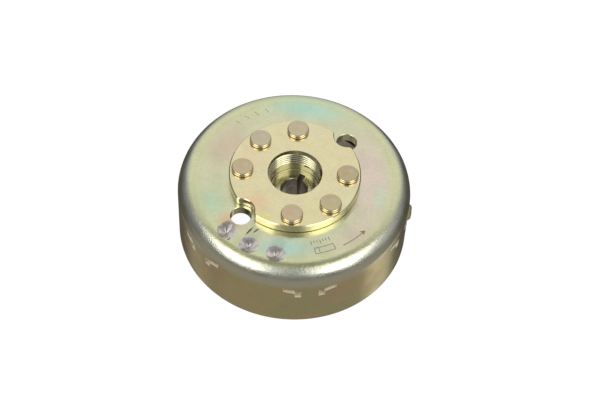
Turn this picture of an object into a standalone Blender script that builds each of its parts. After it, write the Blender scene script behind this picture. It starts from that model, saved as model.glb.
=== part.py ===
"""Magneto flywheel of a small engine, standing on its open rim with the closed face up.

A deep-drawn steel cup carries six ferrite magnets on the inside of its wall. A turned hub with a
tapered, keyed bore is riveted through the cup's face. All sizes are in metres, +Z is the shaft's
axis, and the origin is the centre of the open rim.
"""

import math

import bmesh
import bpy
from mathutils import Matrix, Vector

MM = 0.001
GAP = 0.3 * MM  # left between two pieces that touch

# Rotor cup
CUP_R = 57.0 * MM
CUP_HEIGHT = 38.3 * MM
WALL = 4.0 * MM
FACE = 5.0 * MM
SHOULDER_R = 8.5 * MM
INNER_CORNER_R = 4.5 * MM
RIM_CHAMFER = 0.5 * MM
CUP_STEPS = 96

# Hub: flange, boss, puller counterbore and tapered crankshaft bore
FLANGE_R = 32.0 * MM
FLANGE_TOP = CUP_HEIGHT + 4.9 * MM
FLANGE_CHAMFER = 0.5 * MM
BOSS_R = 18.0 * MM
BOSS_END = 9.0 * MM
BOSS_CHAMFER = 1.0 * MM
THREAD_PITCH = 1.5 * MM
THREAD_TURNS = 5
THREAD_MAJOR_R = 13.0 * MM
THREAD_MINOR_R = 12.2 * MM
MOUTH_R = 13.3 * MM
MOUTH_BEVEL = 1.6 * MM
COUNTERBORE_DEPTH = 13.6 * MM
NUT_SEAT_FILLET = 0.5 * MM
TAPER_SMALL_R = 6.5 * MM
TAPER_RISE = 0.05  # radius gained per length, a 1:10 taper on the diameter
BORE_CHAMFER = 0.4 * MM
KEYWAY_WIDTH = 3.0 * MM
KEYWAY_DEPTH = 2.2 * MM
KEYWAY_ANGLE = 66.5
HUB_STEPS = 64

# Rivets on six places of an eight-place circle, tool holes on the other two
PLACE_PITCH = 45.0
FIRST_PLACE = -1.0
RIVET_PLACES = (0, 2, 3, 4, 6, 7)
TOOL_PLACES = (1, 5)
RIVET_CIRCLE_R = 25.5 * MM
RIVET_HEAD_R = 5.35 * MM
RIVET_HEAD_TOP = CUP_HEIGHT + 7.1 * MM
RIVET_EDGE_R = 0.9 * MM
RIVET_SHANK_R = 2.85 * MM
RIVET_TAIL_R = 4.6 * MM
RIVET_TAIL_HEIGHT = 2.0 * MM
RIVET_STEPS = 24
TOOL_HOLE_R = 5.0 * MM
TOOL_CIRCLE_R = 34.4 * MM
SCALLOP_R = 6.5 * MM
SCALLOP_CORNER_R = 2.5 * MM

# Balance drillings in the cup's face
DRILLING_ANGLES = (226.7, 243.5, 260.8)
DRILLING_CIRCLE_R = 45.0 * MM
DRILLING_R = 4.7 * MM
DRILLING_DEPTH = 2.5 * MM

# Magnets, the spacers between them and the sleeve inside them
MAGNET_COUNT = 6
MAGNET_PITCH = 360.0 / MAGNET_COUNT
FIRST_MAGNET_GAP = 40.2
GAP_HALF_ANGLE = 7.8
MAGNET_OUTER_R = CUP_R - WALL - GAP
MAGNET_INNER_R = 45.3 * MM
MAGNET_BOTTOM = 1.8 * MM
MAGNET_TOP = 23.2 * MM
MAGNET_EDGE = 0.6 * MM
MAGNET_SEGMENTS = 12
SPACER_INNER_R = 46.0 * MM
SPACER_TOP = 20.2 * MM
SPACER_GROOVE_R = 2.5 * MM
SLEEVE_THICKNESS = 0.6 * MM
SLEEVE_TOP = 22.8 * MM
SLEEVE_LIP_R = 47.2 * MM

# Lanced stakes: outline of one, as (along the wall from the magnet's end, height, depth of the
# punched ramp), in mm. The low square part stops the magnet sideways, the high slanted part
# stops it lengthways, and the ramp runs out at the wall along its upper edge.
STAKE_OUTLINE = (
    (-3.6, 20.6, 3.1),
    (-0.4, 20.6, 3.1),
    (-0.4, 23.7, 2.6),
    (5.0, 24.9, 2.4),
    (5.4, 27.9, 0.2),
    (-3.6, 25.4, 0.2),
)
STAKE_SKIN = 0.8 * MM
STAKE_METAL = 3.25 * MM

# Trigger lug, pressed outwards from the wall
LUG_ANGLE = -4.2
LUG_HEIGHT = 21.0 * MM
LUG_LENGTH = 7.0 * MM
LUG_WIDTH = 6.0 * MM
LUG_PROUD = 1.5 * MM
LUG_TAPER = 1.0 * MM
LUG_EDGE = 0.4 * MM

ZINC = (0.62, 0.60, 0.38)
ZINC_PALE = (0.72, 0.66, 0.42)
ZINC_GOLD = (0.66, 0.52, 0.34)
FERRITE = (0.05, 0.05, 0.055)
NYLON = (0.09, 0.09, 0.09)
STAINLESS = (0.55, 0.55, 0.54)


def clear_scene():
    """Empties the scene and makes one collection for the pieces and one for the cutters."""
    for obj in list(bpy.data.objects):
        bpy.data.objects.remove(obj, do_unlink=True)
    made = []
    for name in ("Magneto flywheel", "Cutters"):
        collection = bpy.data.collections.new(name)
        bpy.context.scene.collection.children.link(collection)
        made.append(collection)
    return made


def metal(name, colour, roughness, metallic=1.0):
    """A plain material of one colour."""
    material = bpy.data.materials.new(name)
    material.use_nodes = True
    shader = material.node_tree.nodes["Principled BSDF"]
    shader.inputs["Base Color"].default_value = (*colour, 1.0)
    shader.inputs["Roughness"].default_value = roughness
    shader.inputs["Metallic"].default_value = metallic
    return material


def arc(centre, radius, start, end, segments):
    """Points along an arc, its two ends included. Angles are in degrees."""
    points = []
    for i in range(segments + 1):
        angle = math.radians(start + (end - start) * i / segments)
        points.append((centre[0] + radius * math.cos(angle), centre[1] + radius * math.sin(angle)))
    return points


def polar(radius, angle):
    """The point at this radius and angle in degrees."""
    return (radius * math.cos(math.radians(angle)), radius * math.sin(math.radians(angle)))


def place_angle(place):
    """The angle of one of the eight places on the hub's circle."""
    return FIRST_PLACE + PLACE_PITCH * place


def mesh_object(name, mesh, collection, material=None):
    """A new object for a mesh, in its collection."""
    obj = bpy.data.objects.new(name, mesh)
    collection.objects.link(obj)
    if material is not None:
        mesh.materials.append(material)
    return obj


def turned(name, profile, steps, collection, material, closed=True):
    """A solid turned about Z from a profile of (radius, height) that runs down its outer side."""
    count = len(profile)
    edges = [(i, (i + 1) % count) for i in range(count if closed else count - 1)]
    mesh = bpy.data.meshes.new(name)
    mesh.from_pydata([(radius, 0.0, height) for radius, height in profile], edges, [])
    obj = mesh_object(name, mesh, collection, material)
    screw = obj.modifiers.new("Turn", "SCREW")
    screw.axis = "Z"
    screw.angle = math.tau
    screw.steps = steps
    screw.render_steps = steps
    screw.use_merge_vertices = True
    screw.merge_threshold = 0.00001
    screw.use_smooth_shade = True
    return obj


def plate(name, outline, bottom, top, collection, material=None):
    """A flat outline between two heights, as a mesh."""
    curve = bpy.data.curves.new(name, "CURVE")
    curve.dimensions = "2D"
    curve.fill_mode = "BOTH"
    curve.extrude = (top - bottom) / 2
    spline = curve.splines.new("POLY")
    spline.points.add(len(outline) - 1)
    for point, (x, y) in zip(spline.points, outline):
        point.co = (x, y, 0.0, 1.0)
    spline.use_cyclic_u = True
    drawn = bpy.data.objects.new(name + "_outline", curve)
    collection.objects.link(drawn)
    drawn.location.z = (top + bottom) / 2
    bpy.context.view_layer.update()
    mesh = bpy.data.meshes.new_from_object(drawn.evaluated_get(bpy.context.evaluated_depsgraph_get()))
    work = bmesh.new()
    work.from_mesh(mesh)
    bmesh.ops.remove_doubles(work, verts=work.verts, dist=0.000001)
    bmesh.ops.recalc_face_normals(work, faces=work.faces)
    work.to_mesh(mesh)
    work.free()
    mesh.name = name
    obj = mesh_object(name, mesh, collection, material)
    obj.matrix_world = drawn.matrix_world
    bpy.data.objects.remove(drawn, do_unlink=True)
    return obj


def bevelled(obj, width, segments=1):
    """Breaks the sharp edges of an object."""
    bevel = obj.modifiers.new("Edges", "BEVEL")
    bevel.width = width
    bevel.segments = segments
    bevel.limit_method = "ANGLE"
    bevel.angle_limit = math.radians(35.0)
    return obj


def as_cutter(obj):
    """Marks an object as a shape that only cuts or joins another."""
    obj.hide_render = True
    obj.display_type = "WIRE"
    return obj


def round_cutter(name, centre, low, high, low_radius, high_radius, segments, collection):
    """A cylinder or cone between two heights, as a cutter."""
    mesh = bpy.data.meshes.new(name)
    work = bmesh.new()
    shift = Matrix.Translation((centre[0], centre[1], (low + high) / 2))
    bmesh.ops.create_cone(
        work,
        cap_ends=True,
        segments=segments,
        radius1=low_radius,
        radius2=high_radius,
        depth=high - low,
        matrix=shift,
    )
    work.to_mesh(mesh)
    work.free()
    return as_cutter(mesh_object(name, mesh, collection))


def combine(obj, other, operation):
    """Cuts another object away from this one, or joins it on."""
    boolean = obj.modifiers.new(other.name, "BOOLEAN")
    boolean.operation = operation
    boolean.solver = "EXACT"
    boolean.object = other


def cup_profile():
    """The cup's section, from the edge of its centre hole round the outside and back inside."""
    hole_r = BOSS_R + GAP
    inner_r = CUP_R - WALL
    inner_top = CUP_HEIGHT - FACE
    outer_centre = (CUP_R - SHOULDER_R, CUP_HEIGHT - SHOULDER_R)
    inner_centre = (inner_r - INNER_CORNER_R, inner_top - INNER_CORNER_R)
    points = [(hole_r, CUP_HEIGHT)]
    points += arc(outer_centre, SHOULDER_R, 90.0, 0.0, 8)
    points += [(CUP_R, RIM_CHAMFER), (CUP_R - RIM_CHAMFER, 0.0)]
    points += [(inner_r + RIM_CHAMFER, 0.0), (inner_r, RIM_CHAMFER)]
    points += arc(inner_centre, INNER_CORNER_R, 0.0, 90.0, 4)
    points += [(hole_r, inner_top)]
    return points


def stake_solid(name, angle, side, near, far, collection):
    """A prism on a stake's outline between two depths, each a function of the floor's depth."""
    work = bmesh.new()
    rings = []
    for depth_of in (near, far):
        ring = []
        for along, height, depth in STAKE_OUTLINE:
            radius = CUP_R - depth_of(depth * MM)
            ring.append(work.verts.new((radius, side * along * MM, height * MM)))
        rings.append(ring)
    work.faces.new(rings[0])
    work.faces.new(rings[1])
    count = len(rings[0])
    for i in range(count):
        j = (i + 1) % count
        work.faces.new((rings[0][i], rings[0][j], rings[1][j], rings[1][i]))
    bmesh.ops.recalc_face_normals(work, faces=work.faces)
    mesh = bpy.data.meshes.new(name)
    work.to_mesh(mesh)
    work.free()
    obj = as_cutter(mesh_object(name, mesh, collection))
    obj.rotation_euler.z = math.radians(angle)
    return obj


def lug_solid(name, low_r, high_r, length, width, taper, collection):
    """A block on the wall that narrows by taper on each side over the lug's height."""
    shrink = taper / LUG_PROUD * (high_r - low_r)
    mesh = bpy.data.meshes.new(name)
    work = bmesh.new()
    bmesh.ops.create_cube(work, size=1.0)
    for vert in work.verts:
        outer = vert.co.x > 0
        half_length = length / 2 - (shrink if outer else 0.0)
        half_width = width / 2 - (shrink if outer else 0.0)
        radius = high_r if outer else low_r
        vert.co = (radius, math.copysign(half_length, vert.co.y), math.copysign(half_width, vert.co.z))
    work.to_mesh(mesh)
    work.free()
    obj = as_cutter(mesh_object(name, mesh, collection))
    obj.location.z = LUG_HEIGHT
    obj.rotation_euler.z = math.radians(LUG_ANGLE)
    return obj


def add_stakes(cup, cutters):
    """Lances two stakes beside each gap between magnets: a pocket outside, a tab inside."""
    for gap in range(MAGNET_COUNT):
        for side in (-1, 1):
            angle = FIRST_MAGNET_GAP + MAGNET_PITCH * gap + side * GAP_HALF_ANGLE
            label = f"stake_{gap + 1}{'a' if side < 0 else 'b'}"
            tab = stake_solid(
                label + "_tab",
                angle,
                side,
                lambda depth: depth + STAKE_SKIN,
                lambda depth: depth + STAKE_METAL,
                cutters,
            )
            pocket = stake_solid(
                label + "_pocket",
                angle,
                side,
                lambda depth: -2.0 * MM,
                lambda depth: depth,
                cutters,
            )
            combine(cup, tab, "UNION")
            combine(cup, pocket, "DIFFERENCE")


def add_lug(cup, cutters):
    """Presses the trigger lug outwards, with its hollow on the inside of the wall."""
    sunk = 2.0 * MM
    spread = LUG_TAPER / LUG_PROUD * sunk * 2
    outside = lug_solid(
        "lug_outside",
        CUP_R - sunk,
        CUP_R + LUG_PROUD,
        LUG_LENGTH + spread,
        LUG_WIDTH + spread,
        LUG_TAPER,
        cutters,
    )
    bevelled(outside, LUG_EDGE, 2)
    inner_r = CUP_R - WALL
    hollow = lug_solid(
        "lug_hollow",
        inner_r - 1.0 * MM,
        inner_r + LUG_PROUD,
        LUG_LENGTH,
        LUG_WIDTH,
        LUG_TAPER / 2,
        cutters,
    )
    combine(cup, outside, "UNION")
    combine(cup, hollow, "DIFFERENCE")


def build_cup(collection, cutters):
    """The deep-drawn cup with its holes, drillings, stakes and lug."""
    material = metal("Zinc plate, yellow", ZINC, 0.3)
    cup = turned("rotor_cup", cup_profile(), CUP_STEPS, collection, material)
    low = CUP_HEIGHT - FACE - 2.0 * MM
    high = CUP_HEIGHT + 2.0 * MM
    add_stakes(cup, cutters)
    add_lug(cup, cutters)
    for place in RIVET_PLACES:
        centre = polar(RIVET_CIRCLE_R, place_angle(place))
        radius = RIVET_SHANK_R + GAP
        hole = round_cutter(f"cup_rivet_hole_{place}", centre, low, high, radius, radius, 24, cutters)
        combine(cup, hole, "DIFFERENCE")
    for place in TOOL_PLACES:
        centre = polar(TOOL_CIRCLE_R, place_angle(place))
        radius = TOOL_HOLE_R
        hole = round_cutter(f"tool_hole_{place}", centre, low, high, radius, radius, 40, cutters)
        combine(cup, hole, "DIFFERENCE")
    above = 1.0 * MM
    wide_r = DRILLING_R * (DRILLING_DEPTH + above) / DRILLING_DEPTH
    for number, angle in enumerate(DRILLING_ANGLES, start=1):
        cone = round_cutter(
            f"drilling_{number}",
            polar(DRILLING_CIRCLE_R, angle),
            CUP_HEIGHT - DRILLING_DEPTH,
            CUP_HEIGHT + above,
            0.0,
            wide_r,
            32,
            cutters,
        )
        combine(cup, cone, "DIFFERENCE")


def hub_profile():
    """The hub's section: flange, boss, tapered bore, nut seat and the threaded counterbore."""
    flange_bottom = CUP_HEIGHT + GAP
    nut_seat = FLANGE_TOP - COUNTERBORE_DEPTH
    taper_end_r = TAPER_SMALL_R + TAPER_RISE * (nut_seat - BOSS_END)
    points = [
        (MOUTH_R, FLANGE_TOP),
        (FLANGE_R - FLANGE_CHAMFER, FLANGE_TOP),
        (FLANGE_R, FLANGE_TOP - FLANGE_CHAMFER),
        (FLANGE_R, flange_bottom),
        (BOSS_R, flange_bottom),
        (BOSS_R, BOSS_END + BOSS_CHAMFER),
        (BOSS_R - BOSS_CHAMFER, BOSS_END),
        (taper_end_r + BORE_CHAMFER, BOSS_END),
        (taper_end_r, BOSS_END + BORE_CHAMFER),
        (TAPER_SMALL_R, nut_seat - BORE_CHAMFER),
        (TAPER_SMALL_R + BORE_CHAMFER, nut_seat),
    ]
    fillet_centre = (THREAD_MINOR_R - NUT_SEAT_FILLET, nut_seat + NUT_SEAT_FILLET)
    points += arc(fillet_centre, NUT_SEAT_FILLET, -90.0, 0.0, 2)
    thread_bottom = FLANGE_TOP - MOUTH_BEVEL - THREAD_TURNS * THREAD_PITCH
    for turn in range(THREAD_TURNS):
        root = thread_bottom + turn * THREAD_PITCH
        points.append((THREAD_MINOR_R, root))
        points.append((THREAD_MAJOR_R, root + THREAD_PITCH / 2))
    points.append((THREAD_MINOR_R, FLANGE_TOP - MOUTH_BEVEL))
    return points


def scallop_outline(angle):
    """The shape cut from the flange round a tool hole, with the flange's corners left rounded."""
    hole = Vector(polar(TOOL_CIRCLE_R, 0.0))
    from_axis = FLANGE_R - SCALLOP_CORNER_R
    from_hole = SCALLOP_R + SCALLOP_CORNER_R
    # The corner's centre is where the two circles at these distances meet.
    along = (from_axis**2 - from_hole**2 + TOOL_CIRCLE_R**2) / (2 * TOOL_CIRCLE_R)
    across = math.sqrt(from_axis**2 - along**2)
    corner = Vector((along, across))
    outward = math.degrees(math.atan2(across, along))
    to_hole = hole - corner
    inward = math.degrees(math.atan2(to_hole.y, to_hole.x))
    rounding = arc(corner, SCALLOP_CORNER_R, outward, inward, 5)
    from_hole_angle = inward + 180.0
    scallop = arc(hole, SCALLOP_R, from_hole_angle, 360.0 - from_hole_angle, 14)
    beyond = FLANGE_R + 6.0 * MM
    start = polar(beyond, outward)
    half = [start] + rounding + scallop[1:-1]
    mirrored = [(x, -y) for x, y in reversed([start] + rounding)]
    turn = Matrix.Rotation(math.radians(angle), 2)
    return [tuple(turn @ Vector(point)) for point in half + mirrored]


def build_hub(collection, cutters):
    """The turned hub, scalloped round the tool holes and drilled for the rivets."""
    hub = turned("hub", hub_profile(), HUB_STEPS, collection, metal("Zinc plate, pale", ZINC_PALE, 0.25))
    low = CUP_HEIGHT - 1.0 * MM
    high = FLANGE_TOP + 1.0 * MM
    for place in TOOL_PLACES:
        outline = scallop_outline(place_angle(place))
        scallop = as_cutter(plate(f"scallop_{place}", outline, low, high, cutters))
        combine(hub, scallop, "DIFFERENCE")
    for place in RIVET_PLACES:
        centre = polar(RIVET_CIRCLE_R, place_angle(place))
        radius = RIVET_SHANK_R + GAP
        hole = round_cutter(f"hub_rivet_hole_{place}", centre, low, high, radius, radius, 24, cutters)
        combine(hub, hole, "DIFFERENCE")
    nut_seat = FLANGE_TOP - COUNTERBORE_DEPTH
    taper_length = nut_seat - BOSS_END
    mesh = bpy.data.meshes.new("keyway")
    work = bmesh.new()
    reach = TAPER_SMALL_R + TAPER_RISE * taper_length / 2 + KEYWAY_DEPTH
    bmesh.ops.create_cube(work, size=1.0)
    bmesh.ops.scale(work, verts=work.verts, vec=(reach, KEYWAY_WIDTH, taper_length + 6.0 * MM))
    bmesh.ops.translate(work, verts=work.verts, vec=(reach / 2, 0.0, 0.0))
    work.to_mesh(mesh)
    work.free()
    keyway = as_cutter(mesh_object("keyway", mesh, cutters))
    keyway.location.z = (nut_seat + BOSS_END) / 2
    lean = Matrix.Rotation(math.atan(TAPER_RISE), 4, "Y")
    turn = Matrix.Rotation(math.radians(KEYWAY_ANGLE), 4, "Z")
    keyway.rotation_euler = (turn @ lean).to_euler()
    combine(hub, keyway, "DIFFERENCE")


def rivet_profile():
    """A rivet's section: flat head with a rounded edge, shank, and the tail formed inside the cup."""
    seat = FLANGE_TOP + GAP
    tail_top = CUP_HEIGHT - FACE - GAP
    tail_bottom = tail_top - RIVET_TAIL_HEIGHT
    edge_centre = (RIVET_HEAD_R - RIVET_EDGE_R, RIVET_HEAD_TOP - RIVET_EDGE_R)
    points = [(0.0, RIVET_HEAD_TOP)]
    points += arc(edge_centre, RIVET_EDGE_R, 90.0, 0.0, 3)
    points += [(RIVET_HEAD_R, seat + 0.2 * MM), (RIVET_HEAD_R - 0.2 * MM, seat)]
    points += [(RIVET_SHANK_R, seat), (RIVET_SHANK_R, tail_top)]
    points += [(RIVET_TAIL_R, tail_top), (RIVET_TAIL_R, tail_top - 0.8 * MM)]
    points += [(RIVET_TAIL_R - 1.2 * MM, tail_bottom), (0.0, tail_bottom)]
    return points


def build_rivets(collection):
    """Six rivets, numbered anticlockwise as seen from above."""
    material = metal("Zinc plate, gold", ZINC_GOLD, 0.3)
    for number, place in enumerate(RIVET_PLACES, start=1):
        rivet = turned(f"rivet_{number}", rivet_profile(), RIVET_STEPS, collection, material, closed=False)
        x, y = polar(RIVET_CIRCLE_R, place_angle(place))
        rivet.location = (x, y, 0.0)


def sector(inner_r, outer_r, half_angle, segments):
    """A curved block's outline, centred on +X."""
    outer = arc((0.0, 0.0), outer_r, -half_angle, half_angle, segments)
    inner = arc((0.0, 0.0), inner_r, half_angle, -half_angle, segments)
    return outer + inner


def build_magnets(collection):
    """Six curved magnets with broken edges."""
    material = metal("Ferrite", FERRITE, 0.6, 0.0)
    half_angle = MAGNET_PITCH / 2 - GAP_HALF_ANGLE
    outline = sector(MAGNET_INNER_R, MAGNET_OUTER_R, half_angle, MAGNET_SEGMENTS)
    for number in range(1, MAGNET_COUNT + 1):
        magnet = plate(f"magnet_{number}", outline, MAGNET_BOTTOM, MAGNET_TOP, collection, material)
        bevelled(magnet, MAGNET_EDGE)
        magnet.rotation_euler.z = math.radians(FIRST_MAGNET_GAP + MAGNET_PITCH * (number - 0.5))


def spacer_outline():
    """A spacer's outline, with a round groove down its inner side."""
    half_angle = GAP_HALF_ANGLE - math.degrees(GAP / MAGNET_INNER_R)
    outer = arc((0.0, 0.0), MAGNET_OUTER_R, -half_angle, half_angle, 4)
    groove = arc((SPACER_INNER_R, 0.0), SPACER_GROOVE_R, 90.0, -90.0, 8)
    left = polar(SPACER_INNER_R, half_angle)
    right = polar(SPACER_INNER_R, -half_angle)
    return outer + [left] + groove + [right]


def build_spacers(collection):
    """Six moulded blocks between the magnets, below the stakes."""
    material = metal("Nylon, black", NYLON, 0.5, 0.0)
    outline = spacer_outline()
    for number in range(1, MAGNET_COUNT + 1):
        name = f"magnet_spacer_{number}"
        spacer = plate(name, outline, MAGNET_BOTTOM, SPACER_TOP, collection, material)
        spacer.rotation_euler.z = math.radians(FIRST_MAGNET_GAP + MAGNET_PITCH * (number - 1))


def build_sleeve(collection):
    """The thin sleeve inside the magnets, with a lip under their lower ends."""
    outer_r = MAGNET_INNER_R - GAP
    inner_r = outer_r - SLEEVE_THICKNESS
    lip_top = MAGNET_BOTTOM - GAP
    lip_bottom = lip_top - SLEEVE_THICKNESS
    corner = SLEEVE_THICKNESS
    profile = [
        (outer_r, SLEEVE_TOP),
        (outer_r, lip_top),
        (SLEEVE_LIP_R, lip_top),
        (SLEEVE_LIP_R, lip_bottom),
        (inner_r + corner, lip_bottom),
        (inner_r, lip_bottom + corner),
        (inner_r, SLEEVE_TOP),
    ]
    turned("magnet_sleeve", profile, 72, collection, metal("Stainless steel", STAINLESS, 0.3))


def main():
    """Builds the whole flywheel."""
    collection, cutters = clear_scene()
    build_cup(collection, cutters)
    build_hub(collection, cutters)
    build_rivets(collection)
    build_magnets(collection)
    build_spacers(collection)
    build_sleeve(collection)


main()
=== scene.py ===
"""Finished look of a magneto flywheel: its pieces, their plating and a small light stage.

The packed frame gives every place and outer size. Each piece here stands for one of its nodes,
with round edges, a real thread and the surface that its material has. Sizes are in metres.
"""

import math

import bmesh
import bpy
from bpy.props import FloatProperty, FloatVectorProperty, PointerProperty
from bpy.types import Operator, Panel, PropertyGroup
from mathutils import Matrix, Vector


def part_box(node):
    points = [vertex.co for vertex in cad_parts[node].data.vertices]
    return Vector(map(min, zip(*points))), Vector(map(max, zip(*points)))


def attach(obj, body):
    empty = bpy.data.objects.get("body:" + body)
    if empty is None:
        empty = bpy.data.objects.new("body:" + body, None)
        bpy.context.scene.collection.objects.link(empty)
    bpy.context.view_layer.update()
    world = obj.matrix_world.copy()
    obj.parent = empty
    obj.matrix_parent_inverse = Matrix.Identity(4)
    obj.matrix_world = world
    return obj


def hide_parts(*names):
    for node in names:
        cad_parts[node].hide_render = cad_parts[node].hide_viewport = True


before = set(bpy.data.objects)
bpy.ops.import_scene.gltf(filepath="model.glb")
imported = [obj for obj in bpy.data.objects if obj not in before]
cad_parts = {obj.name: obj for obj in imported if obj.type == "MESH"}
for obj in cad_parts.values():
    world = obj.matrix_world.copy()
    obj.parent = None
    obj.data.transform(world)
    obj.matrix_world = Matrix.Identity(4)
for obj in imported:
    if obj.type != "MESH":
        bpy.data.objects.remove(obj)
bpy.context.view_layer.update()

bl_info = {
    "name": "Magneto flywheel",
    "version": (1, 0, 0),
    "blender": (4, 5, 0),
    "location": "3D View > Sidebar > Flywheel",
    "description": "Builds a plated magneto flywheel and the stage it is shown on",
    "category": "Add Mesh",
}

MM = 0.001
GAP = 0.3 * MM
BODY = "root"

CUP_LOW, CUP_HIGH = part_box("rotor_cup")
HUB_LOW, HUB_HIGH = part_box("hub")
RIVET_LOW, RIVET_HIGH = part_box("rivet_1")
MAGNET_LOW, MAGNET_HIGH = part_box("magnet_1")
SPACER_LOW, SPACER_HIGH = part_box("magnet_spacer_1")
SLEEVE_LOW, SLEEVE_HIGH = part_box("magnet_sleeve")

# Eight places on the hub's circle: rivets on six of them, tool holes on the other two
PLACE_PITCH = 45.0
FIRST_PLACE = -1.0
RIVET_PLACES = (0, 2, 3, 4, 6, 7)
TOOL_PLACES = (1, 5)
RIVET_CIRCLE = 25.5 * MM
TOOL_CIRCLE = 34.4 * MM

MAGNET_COUNT = 6
MAGNET_PITCH = 360.0 / MAGNET_COUNT
FIRST_GAP = 40.2
LUG_ANGLE = -4.2
LUG_HEIGHT = 21.0 * MM
DRILLING_ANGLES = (226.7, 243.5, 260.8)
DRILLING_CIRCLE = 45.0 * MM
ROUND_STEPS = 256
MARK_DEPTH = 0.12 * MM
THREAD_TURNS = 5.0
RINGS_PER_TURN = 12
BORE_TAPER = 0.05
KEYWAY_ANGLE = 66.5


def length(name, description, default):
    """A size that the user can change."""
    return FloatProperty(name=name, description=description, default=default, unit="LENGTH", precision=5)


def angle(name, description, default):
    """An angle that the user can change, given in degrees."""
    return FloatProperty(
        name=name, description=description, default=math.radians(default), subtype="ANGLE"
    )


def number(name, description, default):
    """A plain value that the user can change."""
    return FloatProperty(name=name, description=description, default=default, precision=3)


def linear(code):
    """The linear colour of an sRGB hex code."""
    parts = [int(code[i : i + 2], 16) / 255 for i in (1, 3, 5)]
    return tuple(p / 12.92 if p <= 0.04045 else ((p + 0.055) / 1.055) ** 2.4 for p in parts)


def colour(name, description, code):
    """A colour that the user can change."""
    return FloatVectorProperty(
        name=name,
        description=description,
        default=linear(code),
        subtype="COLOR",
        size=3,
        min=0.0,
        max=1.0,
    )


class CupSettings(PropertyGroup):
    """The deep-drawn cup."""

    radius: length("Radius", "Outer radius of the wall", -CUP_LOW.x)
    height: length("Height", "Height of the closed face above the rim", CUP_HIGH.z)
    wall: length("Wall", "Thickness of the wall", 4.0 * MM)
    face: length("Face", "Thickness of the closed face", 5.0 * MM)
    shoulder: length("Shoulder", "Outer radius of the drawn shoulder", 8.5 * MM)
    tool_hole: length("Tool hole", "Radius of the two tool holes", 5.0 * MM)
    drilling: length("Drilling", "Radius of a balance drilling", 4.7 * MM)
    drilling_depth: length("Drilling depth", "Depth of a balance drilling", 2.5 * MM)
    lug_proud: length("Lug", "How far the trigger lug stands out", 1.47 * MM)
    face_tint: colour("Face tint", "Zinc chromate on the face", "#D2D3AE")
    wall_tint: colour("Wall tint", "Zinc chromate on the wall", "#DACB9C")


class HubSettings(PropertyGroup):
    """The turned hub."""

    flange_radius: length("Flange radius", "Outer radius of the flange", -HUB_LOW.x)
    flange_top: length("Flange top", "Height of the flange's face", HUB_HIGH.z)
    boss_radius: length("Boss radius", "Radius of the boss inside the cup", 18.0 * MM)
    boss_end: length("Boss end", "Height of the boss's lower end", HUB_LOW.z)
    pitch: length("Thread pitch", "Pitch of the puller thread", 1.5 * MM)
    thread_major: length("Thread radius", "Radius at the thread's roots", 13.0 * MM)
    thread_minor: length("Thread crest", "Radius at the thread's crests", 12.2 * MM)
    mouth: length("Mouth", "Radius of the counterbore's mouth", 13.3 * MM)
    bevel: length("Bevel", "Depth of the mouth's bevel", 1.6 * MM)
    counterbore: length("Counterbore", "Depth of the counterbore", 13.6 * MM)
    bore: length("Bore", "Radius of the tapered bore at its small end", 6.5 * MM)
    tint: colour("Tint", "Zinc chromate on the turned flange", "#E0D5A9")


class RivetSettings(PropertyGroup):
    """The six rivets."""

    head_radius: length("Head radius", "Radius of a head", 5.35 * MM)
    head_edge: length("Head edge", "Radius of a head's rounded edge", 0.9 * MM)
    shank_radius: length("Shank radius", "Radius of a shank", 2.85 * MM)
    top: length("Top", "Height of a head's face", RIVET_HIGH.z)
    bottom: length("Bottom", "Height of the formed tail's lower face", RIVET_LOW.z)


class MagnetSettings(PropertyGroup):
    """The magnets, the spacers between them and the sleeve inside them."""

    inner_radius: length("Inner radius", "Inner radius of a magnet", 45.3 * MM)
    gap_half: angle("Half gap", "Half the angle between two magnets", 7.8)
    edge: length("Edge", "Ground edge of a magnet", 0.6 * MM)
    sleeve: length("Sleeve", "Thickness of the sleeve", 0.6 * MM)
    groove: length("Groove", "Radius of the groove in a spacer", 2.5 * MM)


class StageSettings(PropertyGroup):
    """The camera, the lights and the floor."""

    elevation: angle("Elevation", "How far the camera looks down", 54.2)
    roll: angle("Roll", "How far the camera is turned about its own axis", 3.0)
    distance: length("Distance", "From the camera to the middle of the object", 0.765)
    aim_height: length("Aim height", "Height that the camera looks at", 20.0 * MM)
    lens: number("Lens", "Focal length in millimetres", 92.6)
    softbox: number("Softbox", "Power of each front softbox in watts", 2.2)
    overhead: number("Overhead", "Brightness of the overhead light", 1.0)
    under: number("Under", "Brightness of what the wall mirrors below the horizon", 0.33)


# Shapes


def arc(centre, radius, start, end, segments):
    """Points along an arc, both ends included. Angles are in degrees."""
    turn = [math.radians(start + (end - start) * i / segments) for i in range(segments + 1)]
    return [(centre[0] + radius * math.cos(a), centre[1] + radius * math.sin(a)) for a in turn]


def polar(radius, degrees):
    """The point at this radius and angle."""
    return Vector((radius * math.cos(math.radians(degrees)), radius * math.sin(math.radians(degrees))))


def place_angle(place):
    """The angle of one of the eight places on the hub's circle."""
    return FIRST_PLACE + PLACE_PITCH * place


def add_object(name, mesh):
    """A new object in the scene."""
    made = bpy.data.objects.new(name, mesh)
    bpy.context.scene.collection.objects.link(made)
    return made


def turned(name, profile, steps=ROUND_STEPS, closed=True):
    """A solid turned about Z from a profile of (radius, height) that runs down its outer side."""
    count = len(profile)
    edges = [(i, (i + 1) % count) for i in range(count if closed else count - 1)]
    mesh = bpy.data.meshes.new(name)
    mesh.from_pydata([(radius, 0.0, height) for radius, height in profile], edges, [])
    made = add_object(name, mesh)
    screw = made.modifiers.new("Turn", "SCREW")
    screw.steps = steps
    screw.render_steps = steps
    screw.use_merge_vertices = True
    screw.merge_threshold = 0.000001
    return made


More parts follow.
